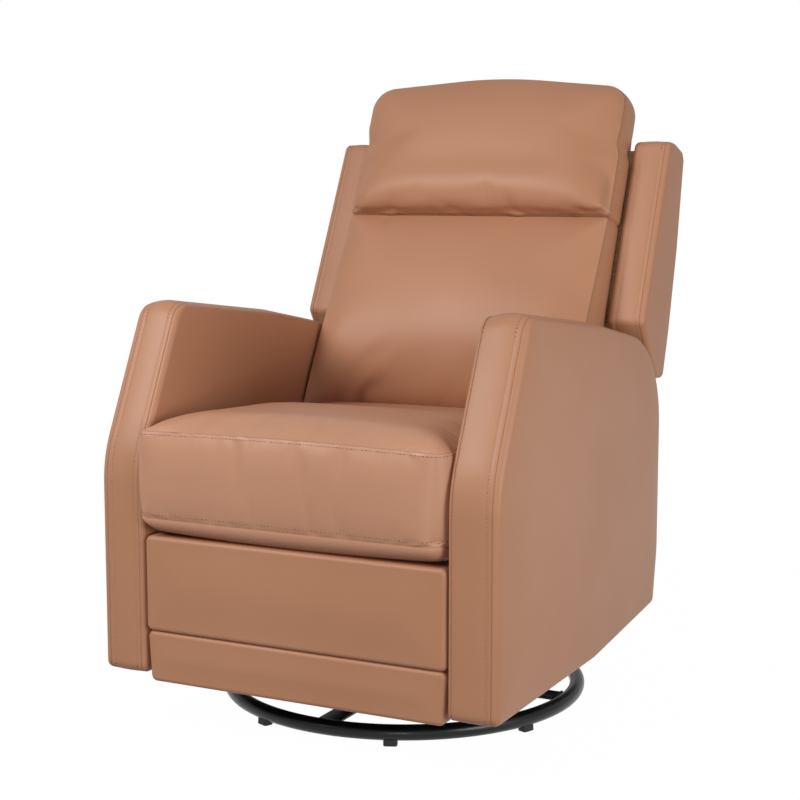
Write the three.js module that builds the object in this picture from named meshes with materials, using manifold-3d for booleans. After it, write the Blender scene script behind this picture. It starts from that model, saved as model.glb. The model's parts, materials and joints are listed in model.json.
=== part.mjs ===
import * as THREE from 'three';
import { mergeVertices } from 'three/addons/utils/BufferGeometryUtils.js';
import Module from 'manifold-3d';

// Swivel glider recliner, in millimetres: X across the chair, Y from front to back, Z up from the floor.
// Depths are measured from the front plane of the arms until the last step, which centres the chair.

// Fits that the whole chair shares
const seatingGap = 0.3;
const pinPlay = 0.6;
const clothPlay = 1.6;
const cutOverrun = 5;
const samePoint = 0.01;

// Counts that set how finely round work is faceted
const arcStep = Math.PI / 12;
const pinSides = 16;
const plateSides = 40;

// Arms
const bayWidth = 524;
const armWidth = 80;
const armDepth = 714;
const armFoot = 92;
const armTop = 671;
const elbowHeight = 433;
const noseSetback = 113;
const armTopFall = 90;
const armTopBow = 9;
const armHeelTuck = 18;
const armHeelRise = 27;
const armHeelStart = 400;
const elbowRadius = 180;
const noseRadius = 36;
const shoulderRadius = 170;
const armToeRadius = 10;
const armPadding = 10;
const armEdgeRadius = 5;

// Seat
const deckHeight = 344;
const seatOverhang = 12;
const seatBack = 590;
const seatFrontHeight = 483;
const seatRearHeight = 456;
const seatCrown = 34;
const seatEdgeRadius = 26;
const seatDrawIn = 3;
const seatFrontSwell = 8;
const lipEndDrop = 26;
const lipMidDrop = 32;
const lipDepth = 64;

// Seat carriage
const railWidth = 25;
const railHeight = 18;
const frontRailDepth = 84;
const rearRailDepth = 560;
const springCount = 4;
const springSpacing = 100;
const springWire = 3.6;
const springWaves = 9;
const springReach = 24;

// Steel linkage, from the middle of the chair outwards
const plateThickness = 5;
const layerPitch = 7;
const linkageInset = 74;
const bracketLayer = bayWidth / 2 - linkageInset;
const pinRadius = 6;
const linkHalfWidth = 9;
const eyeRadius = 13;

// Swivel base
const swivelDepth = 385;
const ringRadius = 295;
const ringTubeRadius = 12.5;
const ringSteps = 44;
const ringSides = 10;
const footCount = 8;
const footHeight = 8;
const footLength = 24;
const footWidth = 18;
const footGrip = 6;
const firstFootAngle = -22.5;
const crossbarWidth = 38;
const crossbarThickness = 5;
const turntableRadius = 110;
const turntableThickness = 5;
const ballRadius = 4;
const ballCount = 10;
const ballCircleRadius = 70;
const cageThickness = 2.4;
const cageWidth = 18;
const boltRadius = 12;
const boltHeadRadius = 20;
const boltHeadHeight = 6;

// Glider
const trayLength = 220;
const trayBoreRadius = 26;
const glideHalfBase = 100;
const glidePivotHeight = 218;
const glideLinkLength = 110;
const glideBracketTop = 120;

// Side plates
const plateFront = 66;
const plateBack = 628;
const plateRailDepth = 38;
const hangerHalfTop = 150;
const hangerHalfFoot = 114;
const recliningPivotRise = 31;
const recliningPivot = { depth: 625, height: deckHeight + recliningPivotRise };

// Footrest linkage
const footPivotDepth = 145;
const footPivotDrop = 32;
const footPivotHeight = deckHeight - footPivotDrop;
const panelPivotDepth = 62;
const panelPivotHeight = 205;
const footLinkLength = 185;
const torqueTubeRadius = 9;

// Footrest panel
const panelSideGap = 2.5;
const panelWidth = bayWidth - 2 * panelSideGap;
const panelTopGap = 6;
const panelTop = deckHeight - lipMidDrop - panelTopGap;
const pleatHeight = 164;
const panelFoot = 88;
const panelFace = 2;
const panelPadThickness = 26;
const stripSetback = 3;
const pleatWidth = 3;
const panelPadRadius = 9;
const panelPadSwell = 4;
const boardThickness = 12;
const boardInset = 6;
const panelBracketHeight = 70;

// Back
const creaseDepth = 573.6;
const creaseSink = 1;
const creaseHeight = seatRearHeight - creaseSink;
const backLean = THREE.MathUtils.degToRad(22.96);
const cushionRear = 20;
const lumbarFoot = 9;
const lumbarTop = 361;
const lumbarSideGap = 2.5;
const lumbarWidth = bayWidth - 2 * lumbarSideGap;
const lumbarFront = -42;
const lumbarCrown = 30;
const headTop = 624;
const headSideGap = 9;
const headWidth = bayWidth - 2 * headSideGap;
const headFront = -40;
const headCrown = 36;
const headArch = 12;
const headCornerRadius = 46;
const pillowGap = 2;
const backDrawIn = 4;
const lumbarCornerRadius = 26;
const backPadRadius = 24;

const postFront = cushionRear + seatingGap;
const postDepth = 36;
const postWidth = 47;
const postFoot = 40;
const postTop = 512;
const backRailHeight = 40;
const bottomRailFoot = 70;
const strapCount = 2;
const strapWidth = 70;
const strapThickness = 4;
const strapFirst = 205;
const strapSpacing = 150;
const headBlockInset = 31;
const headBlockWidth = headWidth - 2 * headBlockInset;
const headBlockHeight = 88;
const headBlockRadius = 14;

// Outside back, the panel behind the frame, in the same leaning directions
const rearFoot = -16;
const rearFootSetback = 168;
const rearTop = 604;
const rearTopSetback = 82;
const rearThickness = 8;
const rearShoulder = 524;
const rearTopInset = 28;
const rearTopWidth = headWidth - 2 * rearTopInset;
const rearCornerRadius = 40;

// Wings
const wingWidth = 69;
const wingTop = 521;
const wingElbow = 173;
const wingTail = { setback: 103, rise: 116 };
const wingHeel = { setback: 149, rise: 127 };
const wingWaist = { setback: 143, rise: 217 };
const wingNape = { setback: 123, rise: 363 };
const wingShoulder = { setback: 88, rise: 524 };
const wingCrest = { setback: 74, rise: 535 };
const wingCrown = { setback: 30, rise: 531 };
const wingEdgeRadius = 6;
const wingCornerRadius = 9;
const wingArmGap = 4;

// Lower rear panel
const valanceDepth = 684;
const valanceThickness = 8;
const valanceFoot = 120;
const valanceTop = 385;

const leather = { color: 0xb5866b, roughness: 0.5, metalness: 0 };
const leatherDark = { color: 0xa77a5c, roughness: 0.55, metalness: 0 };
const blackSteel = { color: 0x1c1d20, roughness: 0.35, metalness: 0.6 };
const zincSteel = { color: 0x8f9296, roughness: 0.4, metalness: 0.9 };
const plywood = { color: 0xc9a777, roughness: 0.75, metalness: 0 };
const webbing = { color: 0x6b6f6a, roughness: 0.9, metalness: 0 };
const rubber = { color: 0x151515, roughness: 0.8, metalness: 0 };

const wasm = await Module();
wasm.setup();

// Joining and cutting

function weld(geometry) {
  geometry.deleteAttribute('normal');
  geometry.deleteAttribute('uv');
  return mergeVertices(geometry);
}

function solid(geometry) {
  const welded = weld(geometry.clone());
  const vertProperties = new Float32Array(welded.getAttribute('position').array);
  const triVerts = new Uint32Array(welded.getIndex().array);
  return new wasm.Manifold(new wasm.Mesh({ numProp: 3, vertProperties, triVerts }));
}

function surface(shape) {
  const mesh = shape.getMesh();
  const geometry = new THREE.BufferGeometry();
  geometry.setAttribute('position', new THREE.BufferAttribute(mesh.vertProperties, 3));
  geometry.setIndex(new THREE.BufferAttribute(mesh.triVerts, 1));
  return geometry;
}

function joined(...geometries) {
  return surface(geometries.map(solid).reduce((whole, next) => whole.add(next)));
}

function cut(geometry, ...tools) {
  return surface(tools.map(solid).reduce((whole, next) => whole.subtract(next), solid(geometry)));
}

// Outlines: each corner is [across, up, corner radius], run anticlockwise

function roundedOutline(corners) {
  const points = [];
  corners.forEach(([across, up, radius], index) => {
    const corner = new THREE.Vector2(across, up);
    const before = new THREE.Vector2(...corners.at(index - 1)).sub(corner);
    const after = new THREE.Vector2(...corners[(index + 1) % corners.length]).sub(corner);
    const reach = Math.min(before.length(), after.length()) / 2;
    before.normalize();
    after.normalize();
    const half = Math.acos(THREE.MathUtils.clamp(before.dot(after), -1, 1)) / 2;
    const run = Math.min(radius / Math.tan(half), reach);
    const turn = Math.PI - 2 * half;
    if (run === 0 || turn < arcStep / 4) {
      points.push(corner);
      return;
    }
    const trueRadius = run * Math.tan(half);
    const towards = before.clone().add(after).normalize();
    const centre = corner.clone().addScaledVector(towards, trueRadius / Math.sin(half));
    const start = corner.clone().addScaledVector(before, run).sub(centre);
    const steps = Math.max(1, Math.ceil(turn / arcStep));
    const sense = Math.sign(after.cross(before));
    for (let step = 0; step <= steps; step++) {
      const angle = sense * turn * step / steps;
      points.push(start.clone().rotateAround(new THREE.Vector2(), angle).add(centre));
    }
  });
  return points.filter((point, index) => point.distanceTo(points.at(index - 1)) > samePoint);
}

// Moves every side of an anticlockwise outline without hollows inwards by one distance
function inset(corners, distance) {
  return corners.map(([across, up, radius], index) => {
    const corner = new THREE.Vector2(across, up);
    const arriving = corner.clone().sub(new THREE.Vector2(...corners.at(index - 1))).normalize();
    const leaving = new THREE.Vector2(...corners[(index + 1) % corners.length]).sub(corner).normalize();
    const inward = new THREE.Vector2(-arriving.y - leaving.y, arriving.x + leaving.x);
    corner.addScaledVector(inward, distance / (1 + arriving.dot(leaving)));
    return [corner.x, corner.y, Math.max(0, radius - distance)];
  });
}

function circle(across, up, radius, sides = pinSides) {
  const points = [];
  for (let side = 0; side < sides; side++) {
    const angle = 2 * Math.PI * side / sides;
    points.push(new THREE.Vector2(across + radius * Math.cos(angle), up + radius * Math.sin(angle)));
  }
  return points;
}

// Straight bar with a round eye at each end, from one pin to the other
function barOutline(from, to, halfWidth) {
  const along = to.clone().sub(from).angle();
  const points = [];
  for (const [centre, first] of [[from, along + Math.PI / 2], [to, along - Math.PI / 2]]) {
    const steps = pinSides / 2;
    for (let step = 0; step <= steps; step++) {
      const angle = first + Math.PI * step / steps;
      const rim = new THREE.Vector2(Math.cos(angle), Math.sin(angle));
      points.push(centre.clone().addScaledVector(rim, halfWidth));
    }
  }
  return points;
}

// Plates that stand upright, front to back: outline across = Y, up = Z, thickness along X

const standUpright = new THREE.Matrix4().makeBasis(
  new THREE.Vector3(0, 1, 0), new THREE.Vector3(0, 0, 1), new THREE.Vector3(1, 0, 0));
const standAcross = new THREE.Matrix4().makeBasis(
  new THREE.Vector3(1, 0, 0), new THREE.Vector3(0, 0, 1), new THREE.Vector3(0, -1, 0));

function slab(points, thickness, { holes = [], edge = 0 } = {}) {
  const shape = new THREE.Shape(points);
  shape.holes = holes.map((hole) => new THREE.Path(hole));
  const geometry = new THREE.ExtrudeGeometry(shape, {
    depth: thickness - 2 * edge,
    bevelEnabled: edge > 0,
    bevelThickness: edge,
    bevelSize: edge,
    bevelOffset: -edge,
    bevelSegments: 2,
  });
  return geometry.translate(0, 0, edge);
}

function uprightPlate(points, near, thickness, options) {
  return slab(points, thickness, options).applyMatrix4(standUpright).translate(near, 0, 0);
}

function crossPin(depth, height, from, to, radius = pinRadius) {
  return uprightPlate(circle(depth, height, radius), from, to - from);
}

function block(width, depth, height, centre) {
  return new THREE.BoxGeometry(width, depth, height).translate(...centre);
}

// Turned work about the Z axis: each corner of the profile is [radius, height]

function turned(profile, sides = plateSides) {
  return new THREE.LatheGeometry(profile.map((corner) => new THREE.Vector2(...corner)), sides)
    .rotateX(Math.PI / 2);
}

function washer(inner, outer, foot, thickness, sides = plateSides) {
  const top = foot + thickness;
  return turned([[inner, foot], [outer, foot], [outer, top], [inner, top], [inner, foot]], sides);
}

// Padded block: corners of one radius, spread so that the facets crowd towards its edges, then swollen.
// swell takes the point in millimetres and the same point as shares of the half sizes, from -1 to 1.
function paddedBlock(size, radius, segments, swell) {
  const geometry = weld(new THREE.BoxGeometry(2, 2, 2, ...segments));
  const half = size.clone().multiplyScalar(1 / 2);
  const core = half.clone().subScalar(radius);
  const position = geometry.getAttribute('position');
  for (let index = 0; index < position.count; index++) {
    const corner = new THREE.Vector3().fromBufferAttribute(position, index);
    const share = new THREE.Vector3(...corner.toArray().map((part) => Math.sin(part * Math.PI / 2)));
    const point = half.clone().multiply(share);
    const inner = point.clone().clamp(core.clone().negate(), core);
    point.sub(inner).setLength(radius).add(inner);
    swell(point, share);
    position.setXYZ(index, ...point.toArray());
  }
  return geometry;
}

// One named piece of the chair
function piece(parent, name, geometry, finish) {
  const mesh = new THREE.Mesh(geometry, new THREE.MeshStandardMaterial(finish));
  mesh.name = name;
  parent.add(mesh);
  return mesh;
}

// The same plate on both sides: make(side) gets 1 for the right of the chair as seen from in front
function pair(parent, name, make, finish) {
  for (const [side, word] of [[-1, 'left'], [1, 'right']]) {
    piece(parent, `${name}_${word}`, mirrored(make(), side), finish);
  }
}

function mirrored(geometry, side) {
  if (side > 0) return geometry;
  const flipped = weld(geometry.clone()).scale(-1, 1, 1);
  const index = flipped.getIndex();
  for (let corner = 0; corner < index.count; corner += 3) {
    const kept = index.getX(corner);
    index.setX(corner, index.getX(corner + 1));
    index.setX(corner + 1, kept);
  }
  return flipped;
}

// Layers of the steel linkage, counted outwards from the glider bracket

const layer = (number) => bracketLayer + number * layerPitch;
const glideLinkLayer = layer(1);
const sidePlateLayer = layer(2);
const lowerLinkLayer = layer(3);
const upperLinkLayer = layer(4);
const panelBracketLayer = layer(5);
const outerFace = (number) => layer(number) + plateThickness;
const halfBay = bayWidth / 2;

const chair = new THREE.Group();

// Base: ring, crossbars and feet

const ringHeight = footHeight + ringTubeRadius;

function buildBase() {
  const base = new THREE.Group();
  base.position.y = swivelDepth;
  chair.add(base);
  const ring = new THREE.TorusGeometry(ringRadius, ringTubeRadius, ringSides, ringSteps);
  piece(base, 'base_ring', ring.translate(0, 0, ringHeight), blackSteel);

  const innerRadius = (ringRadius - ringTubeRadius) * Math.cos(Math.PI / ringSteps) - seatingGap;
  const reach = Math.sqrt(innerRadius ** 2 - (crossbarWidth / 2) ** 2);
  const lowerBar = ringHeight - crossbarThickness / 2;
  const upperBar = lowerBar + crossbarThickness + seatingGap;
  piece(base, 'crossbar_lengthwise',
    block(crossbarWidth, 2 * reach, crossbarThickness, [0, 0, lowerBar]), blackSteel);
  piece(base, 'crossbar_sideways',
    block(2 * reach, crossbarWidth, crossbarThickness, [0, 0, upperBar]), blackSteel);

  const groove = new THREE.TorusGeometry(
    ringRadius, ringTubeRadius + seatingGap, ringSides, ringSteps).translate(0, 0, ringHeight);
  for (let number = 0; number < footCount; number++) {
    const angle = THREE.MathUtils.degToRad(firstFootAngle) + 2 * Math.PI * number / footCount;
    const tall = footHeight + footGrip;
    const pad = block(footWidth, footLength, tall, [ringRadius, 0, tall / 2]).rotateZ(angle);
    piece(base, `foot_${number + 1}`, cut(pad, groove), rubber);
  }
  return upperBar + crossbarThickness / 2 + seatingGap;
}

// Turntable: two plates, balls in a cage between them, and the bolt that the chair turns on

function buildTurntable(foot) {
  const turntable = new THREE.Group();
  turntable.position.y = swivelDepth;
  chair.add(turntable);
  const bore = boltRadius + pinPlay;
  piece(turntable, 'turntable_lower', washer(bore, turntableRadius, foot, turntableThickness), zincSteel);

  const ballMiddle = foot + turntableThickness + seatingGap + ballRadius;
  const cageInner = ballCircleRadius - cageWidth / 2;
  const cage = washer(cageInner, cageInner + cageWidth, ballMiddle - cageThickness / 2, cageThickness);
  const balls = [];
  for (let number = 0; number < ballCount; number++) {
    const ball = new THREE.IcosahedronGeometry(ballRadius, 1).translate(ballCircleRadius, 0, ballMiddle);
    balls.push(ball.rotateZ(2 * Math.PI * number / ballCount));
  }
  piece(turntable, 'ball_cage', joined(cage, ...balls), zincSteel);

  const upperFoot = ballMiddle + ballRadius + seatingGap;
  piece(turntable, 'turntable_upper',
    washer(bore, turntableRadius, upperFoot, turntableThickness), zincSteel);
  const headFoot = upperFoot + turntableThickness + seatingGap;
  const headTopFace = headFoot + boltHeadHeight;
  const bolt = turned([
    [0, foot], [boltRadius, foot], [boltRadius, headFoot], [boltHeadRadius, headFoot],
    [boltHeadRadius, headTopFace], [0, headTopFace],
  ], pinSides);
  piece(turntable, 'centre_bolt', bolt, zincSteel);
  return headFoot;
}

// Glider: tray, brackets with the upper pins, and the swing links that the seat hangs from

const glideLower = glidePivotHeight - glideLinkLength;
const glideEnds = [['front', swivelDepth - glideHalfBase], ['rear', swivelDepth + glideHalfBase]];

function buildGlider(trayFoot) {
  const halfTray = bracketLayer - seatingGap;
  const trayOutline = roundedOutline([
    [-halfTray, -trayLength / 2, 0], [halfTray, -trayLength / 2, 0],
    [halfTray, trayLength / 2, 0], [-halfTray, trayLength / 2, 0],
  ]);
  const tray = slab(trayOutline, plateThickness, { holes: [circle(0, 0, trayBoreRadius)] });
  piece(chair, 'glider_tray', tray.translate(0, swivelDepth, trayFoot), blackSteel);

  const top = glidePivotHeight + eyeRadius;
  const bracketOutline = roundedOutline([
    [swivelDepth - trayLength / 2, trayFoot, 0],
    [swivelDepth + trayLength / 2, trayFoot, 0],
    [swivelDepth + glideBracketTop, top, eyeRadius],
    [swivelDepth - glideBracketTop, top, eyeRadius],
  ]);
  const makeBracket = () => joined(
    uprightPlate(bracketOutline, bracketLayer, plateThickness),
    ...glideEnds.map(([, depth]) => crossPin(
      depth, glidePivotHeight, bracketLayer + plateThickness / 2, glideLinkLayer + plateThickness)));
  pair(chair, 'glider_bracket', makeBracket, blackSteel);

  for (const [end, depth] of glideEnds) {
    const upper = new THREE.Vector2(depth, glidePivotHeight);
    const lower = new THREE.Vector2(depth, glideLower);
    const holes = [upper, lower].map((pin) => circle(pin.x, pin.y, pinRadius + pinPlay));
    const outline = barOutline(upper, lower, eyeRadius);
    pair(chair, `glide_link_${end}`,
      () => uprightPlate(outline, glideLinkLayer, plateThickness, { holes }), zincSteel);
  }
}

// Seat carriage: side plates with the lower glider pins, rails and springs

const railFoot = deckHeight - railHeight;

function buildCarriage() {
  const plateTop = railFoot - seatingGap;
  const pivot = recliningPivot;
  const outline = roundedOutline([
    [plateFront, plateTop - plateRailDepth, eyeRadius],
    [swivelDepth - hangerHalfTop, plateTop - plateRailDepth, eyeRadius],
    [swivelDepth - hangerHalfFoot, glideLower - eyeRadius, eyeRadius],
    [swivelDepth + hangerHalfFoot, glideLower - eyeRadius, eyeRadius],
    [swivelDepth + hangerHalfTop, plateTop - plateRailDepth, eyeRadius],
    [plateBack, plateTop - plateRailDepth, eyeRadius],
    [pivot.depth + eyeRadius, plateTop, 0],
    [pivot.depth + eyeRadius, pivot.height + eyeRadius, eyeRadius],
    [pivot.depth - eyeRadius, pivot.height + eyeRadius, eyeRadius],
    [pivot.depth - eyeRadius, plateTop, 0],
    [plateFront, plateTop, eyeRadius],
  ]);
  const holes = [
    circle(footPivotDepth, footPivotHeight, torqueTubeRadius + pinPlay),
    circle(pivot.depth, pivot.height, pinRadius + pinPlay),
  ];
  const makePlate = () => joined(
    uprightPlate(outline, sidePlateLayer, plateThickness, { holes }),
    ...glideEnds.map(([, depth]) => crossPin(
      depth, glideLower, glideLinkLayer, sidePlateLayer + plateThickness / 2)));
  pair(chair, 'side_plate', makePlate, zincSteel);

  const railLength = bayWidth - 2 * seatingGap;
  for (const [name, depth] of [['seat_rail_front', frontRailDepth], ['seat_rail_rear', rearRailDepth]]) {
    const centre = [0, depth + railWidth / 2, deckHeight - railHeight / 2];
    piece(chair, name, block(railLength, railWidth, railHeight, centre), plywood);
  }
  for (let number = 0; number < springCount; number++) {
    const across = (number - (springCount - 1) / 2) * springSpacing;
    piece(chair, `seat_spring_${number + 1}`, seatSpring(across), zincSteel);
  }
}

// Sinuous spring: wire that swings from side to side in a flat sine on its way between the two rails
class SpringPath extends THREE.Curve {
  constructor(across) {
    super();
    this.across = across;
  }

  getPoint(share, target = new THREE.Vector3()) {
    const start = frontRailDepth + railWidth + seatingGap;
    const length = rearRailDepth - seatingGap - start;
    const fade = Math.min(1, springWaves * Math.min(share, 1 - share));
    const sway = springReach * fade * Math.sin(2 * Math.PI * springWaves * share);
    return target.set(this.across + sway, start + length * share, deckHeight - railHeight / 2);
  }
}

function seatSpring(across) {
  const section = new THREE.Shape(circle(0, 0, springWire / 2, 5));
  const stepsPerWave = 6;
  return new THREE.ExtrudeGeometry(section, {
    extrudePath: new SpringPath(across), steps: springWaves * stepsPerWave, bevelEnabled: false,
  });
}

// Arms: a padded cover that is open underneath, over a plywood frame

const armCorners = [
  [0, armFoot, armToeRadius],
  [armHeelStart, armFoot, elbowRadius],
  [armDepth - armHeelTuck, armFoot + armHeelRise, armToeRadius],
  [armDepth, elbowHeight / 2, elbowRadius],
  [armDepth, armTop - armTopFall, shoulderRadius],
  [(armDepth + noseSetback) / 2, armTop - armTopFall / 2 + armTopBow, shoulderRadius],
  [noseSetback, armTop, noseRadius],
  [0, elbowHeight, elbowRadius],
];

function buildArms() {
  const wall = armPadding;
  const frameWidth = armWidth - 2 * (wall + seatingGap);
  const cavity = uprightPlate(
    roundedOutline(inset(armCorners, wall)), halfBay + wall, armWidth - 2 * wall);
  const mouth = block(
    armWidth - 2 * wall, armDepth - armHeelTuck - 4 * wall, 2 * armHeelRise + 2 * wall,
    [halfBay + armWidth / 2, (armDepth - armHeelTuck) / 2, armFoot]);
  const makeCover = () => cut(
    uprightPlate(roundedOutline(armCorners), halfBay, armWidth, { edge: armEdgeRadius }), cavity, mouth);
  pair(chair, 'arm_cover', makeCover, leather);
  const frameOutline = roundedOutline(inset(armCorners, wall + seatingGap));
  pair(chair, 'arm_frame',
    () => uprightPlate(frameOutline, halfBay + wall + seatingGap, frameWidth), plywood);
}

// Seat cushion: front boxing between two seam heights, crowned top, rounded lip hanging under the front

function buildSeat() {
  const foot = deckHeight + seatingGap;
  const length = seatBack + seatOverhang;
  const size = new THREE.Vector3(bayWidth - 2 * clothPlay, length, seatFrontHeight - foot);
  const middle = new THREE.Vector3(0, length / 2 - seatOverhang, (seatFrontHeight + foot) / 2);
  const fall = (seatFrontHeight - seatRearHeight) / 2;
  const cushion = paddedBlock(size, seatEdgeRadius, [12, 14, 6], (point, share) => {
    const upper = (1 + share.z) / 2;
    const acrossBow = 1 - share.x ** 2;
    const alongBow = 1 - share.y ** 2;
    point.z += upper * (seatCrown * alongBow * (1 + acrossBow) / 2 - fall * (1 + share.y));
    point.x -= Math.sign(share.x) * share.x ** 2 * seatDrawIn * alongBow;
    const fromFront = point.y + length / 2;
    const frontShare = 1 - THREE.MathUtils.smoothstep(fromFront, lipDepth / 2, lipDepth);
    const drop = lipEndDrop + (lipMidDrop - lipEndDrop) * acrossBow;
    point.z -= (1 - upper) * frontShare * drop;
    if (share.y < 0) point.y += share.y ** 2 * seatFrontSwell * (share.z ** 2 + share.x ** 4) / 2;
  });
  piece(chair, 'seat_cushion', cushion.translate(...middle.toArray()), leather);
}

// Footrest: links and torque tube, then the panel that they carry

function footLinkElbow() {
  const pivot = new THREE.Vector2(footPivotDepth, footPivotHeight);
  const panel = new THREE.Vector2(panelPivotDepth, panelPivotHeight);
  const chord = panel.clone().sub(pivot);
  const bend = Math.acos(chord.length() / 2 / footLinkLength);
  const elbow = chord.setLength(footLinkLength).rotateAround(new THREE.Vector2(), bend).add(pivot);
  return { pivot, elbow, panel };
}

function buildFootrestLinks() {
  const { pivot, elbow, panel } = footLinkElbow();
  const eye = (pin) => circle(pin.x, pin.y, pinRadius + pinPlay);
  const tubeHalf = lowerLinkLayer - seatingGap;
  piece(chair, 'torque_tube',
    crossPin(pivot.x, pivot.y, -tubeHalf, tubeHalf, torqueTubeRadius), zincSteel);
  pair(chair, 'footrest_link_lower', () => joined(
    uprightPlate(barOutline(pivot, elbow, linkHalfWidth), lowerLinkLayer, plateThickness),
    crossPin(elbow.x, elbow.y, lowerLinkLayer + plateThickness / 2, outerFace(4))), zincSteel);
  pair(chair, 'footrest_link_upper', () => uprightPlate(
    barOutline(elbow, panel, linkHalfWidth), upperLinkLayer, plateThickness,
    { holes: [eye(elbow), eye(panel)] }), zincSteel);
}

function buildFootrestPanel() {
  const boardFront = panelFace + panelPadThickness + seatingGap;
  const boardRear = boardFront + boardThickness;
  const boardHeight = panelTop - panelFoot - 2 * boardInset;
  piece(chair, 'footrest_board', block(
    panelWidth - 2 * boardInset, boardThickness, boardHeight,
    [0, boardFront + boardThickness / 2, (panelTop + panelFoot) / 2]), plywood);

  const halfBracket = panelBracketHeight / 2;
  const near = boardRear + seatingGap;
  const bracketOutline = roundedOutline([
    [near, panelPivotHeight - halfBracket, 0],
    [panelPivotDepth + eyeRadius, panelPivotHeight - eyeRadius, eyeRadius],
    [panelPivotDepth + eyeRadius, panelPivotHeight + eyeRadius, eyeRadius],
    [near, panelPivotHeight + halfBracket, 0],
  ]);
  pair(chair, 'footrest_bracket', () => joined(
    uprightPlate(bracketOutline, panelBracketLayer, plateThickness),
    crossPin(panelPivotDepth, panelPivotHeight, upperLinkLayer, panelBracketLayer + plateThickness / 2)),
  zincSteel);

  const pads = [
    ['footrest_pad_upper', pleatHeight + pleatWidth / 2, panelTop, panelFace, [10, 3, 6]],
    ['footrest_strip_lower', panelFoot, pleatHeight - pleatWidth / 2, panelFace + stripSetback, [10, 3, 4]],
  ];
  for (const [name, foot, top, face, segments] of pads) {
    const thickness = panelFace + panelPadThickness - face;
    const size = new THREE.Vector3(panelWidth, thickness - panelPadSwell, top - foot);
    const pad = paddedBlock(size, panelPadRadius, segments, (point, share) => {
      const swelling = (1 - share.x ** 4) * (1 - share.z ** 2);
      if (share.y < 0) point.y += share.y * panelPadSwell * swelling;
    });
    const middle = face + panelPadSwell + size.y / 2;
    piece(chair, name, pad.translate(0, middle, (foot + top) / 2), leatherDark);
  }
}

// Back: everything in this group leans with it. Y is the setback from the wing fronts, Z the rise.

function buildBack() {
  const back = new THREE.Group();
  back.position.set(0, creaseDepth, creaseHeight);
  back.rotation.x = -backLean;
  chair.add(back);
  back.updateMatrixWorld(true);
  buildBackFrame(back);
  buildBackCushions(back);
  buildOutsideBack(back);
  buildWings(back);
  buildReclineHinges(back);
}

function buildBackFrame(back) {
  const innerHalf = halfBay - seatingGap - postWidth;
  const middle = postFront + postDepth / 2;
  pair(back, 'back_post', () => block(postWidth, postDepth, postTop - postFoot,
    [innerHalf + postWidth / 2, middle, (postTop + postFoot) / 2]), plywood);
  const railLength = 2 * (innerHalf - seatingGap);
  const bottomRailLength = 2 * (lowerLinkLayer - seatingGap);
  piece(back, 'back_rail_bottom', block(bottomRailLength, postDepth, backRailHeight,
    [0, middle, bottomRailFoot + backRailHeight / 2]), plywood);
  piece(back, 'back_rail_top', block(railLength, postDepth, backRailHeight,
    [0, middle, postTop - backRailHeight / 2]), plywood);
  for (let number = 0; number < strapCount; number++) {
    const rise = strapFirst + number * strapSpacing;
    piece(back, `back_strap_${number + 1}`, block(railLength, strapThickness, strapWidth,
      [0, postFront + strapThickness / 2, rise]), webbing);
  }
  const blockRear = rearTopSetback - rearThickness - seatingGap;
  const headBlock = roundedOutline([
    [-headBlockWidth / 2, 0, 0], [headBlockWidth / 2, 0, 0],
    [headBlockWidth / 2, headBlockHeight, headBlockRadius],
    [-headBlockWidth / 2, headBlockHeight, headBlockRadius],
  ]);
  piece(back, 'head_block', slab(headBlock, blockRear - postFront).applyMatrix4(standAcross)
    .translate(0, blockRear, postTop + seatingGap), plywood);
}

function buildBackCushions(back) {
  const cushions = [
    {
      name: 'lumbar_cushion', foot: lumbarFoot, top: lumbarTop, width: lumbarWidth,
      front: lumbarFront, crown: lumbarCrown, arch: 0, corner: lumbarCornerRadius, segments: [12, 4, 10],
    },
    {
      name: 'head_pillow', foot: lumbarTop + pillowGap, top: headTop, width: headWidth,
      front: headFront, crown: headCrown, arch: headArch, corner: headCornerRadius, segments: [12, 4, 8],
    },
  ];
  for (const { name, foot, top, width, front, crown, arch, corner, segments } of cushions) {
    const size = new THREE.Vector3(width, cushionRear - front, top - foot);
    const pad = paddedBlock(size, backPadRadius, segments, (point, share) => {
      if (share.z > 0) roundUpperCorner(point, size, corner);
      const acrossBow = 1 - share.x ** 2;
      const upBow = 1 - share.z ** 4;
      if (share.y < 0) point.y += share.y * crown * upBow * (1 - share.x ** 4);
      if (share.z > 0) point.z += share.z ** 2 * arch * acrossBow;
      point.x -= Math.sign(share.x) * share.x ** 2 * backDrawIn * upBow;
    });
    piece(back, name, pad.translate(0, (cushionRear + front) / 2, (foot + top) / 2), leather);
  }
}

// Draws a point of a pad's upper corner onto an arc of the corner's own radius, as seen from the front
function roundUpperCorner(point, size, radius) {
  const centre = new THREE.Vector2(Math.sign(point.x) * (size.x / 2 - radius), size.z / 2 - radius);
  const offset = new THREE.Vector2(point.x, point.z).sub(centre);
  if (offset.x * point.x < 0 || offset.y < 0) return;
  offset.clampLength(0, radius);
  point.x = centre.x + offset.x;
  point.z = centre.y + offset.y;
}

function buildOutsideBack(back) {
  const rise = rearTop - rearFoot;
  const setback = rearFootSetback - rearTopSetback;
  const length = Math.hypot(rise, setback);
  const shoulder = length * (rearShoulder - rearFoot) / rise;
  const half = halfBay - seatingGap;
  const outline = roundedOutline([
    [-half, 0, 0], [half, 0, 0],
    [half, shoulder, 0], [rearTopWidth / 2, shoulder, 0],
    [rearTopWidth / 2, length, rearCornerRadius], [-rearTopWidth / 2, length, rearCornerRadius],
    [-rearTopWidth / 2, shoulder, 0], [-half, shoulder, 0],
  ]);
  const panel = piece(back, 'outside_back',
    slab(outline, rearThickness).applyMatrix4(standAcross), leather);
  panel.position.set(0, rearFootSetback, rearFoot);
  panel.rotation.x = Math.atan2(setback, rise);
}

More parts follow.
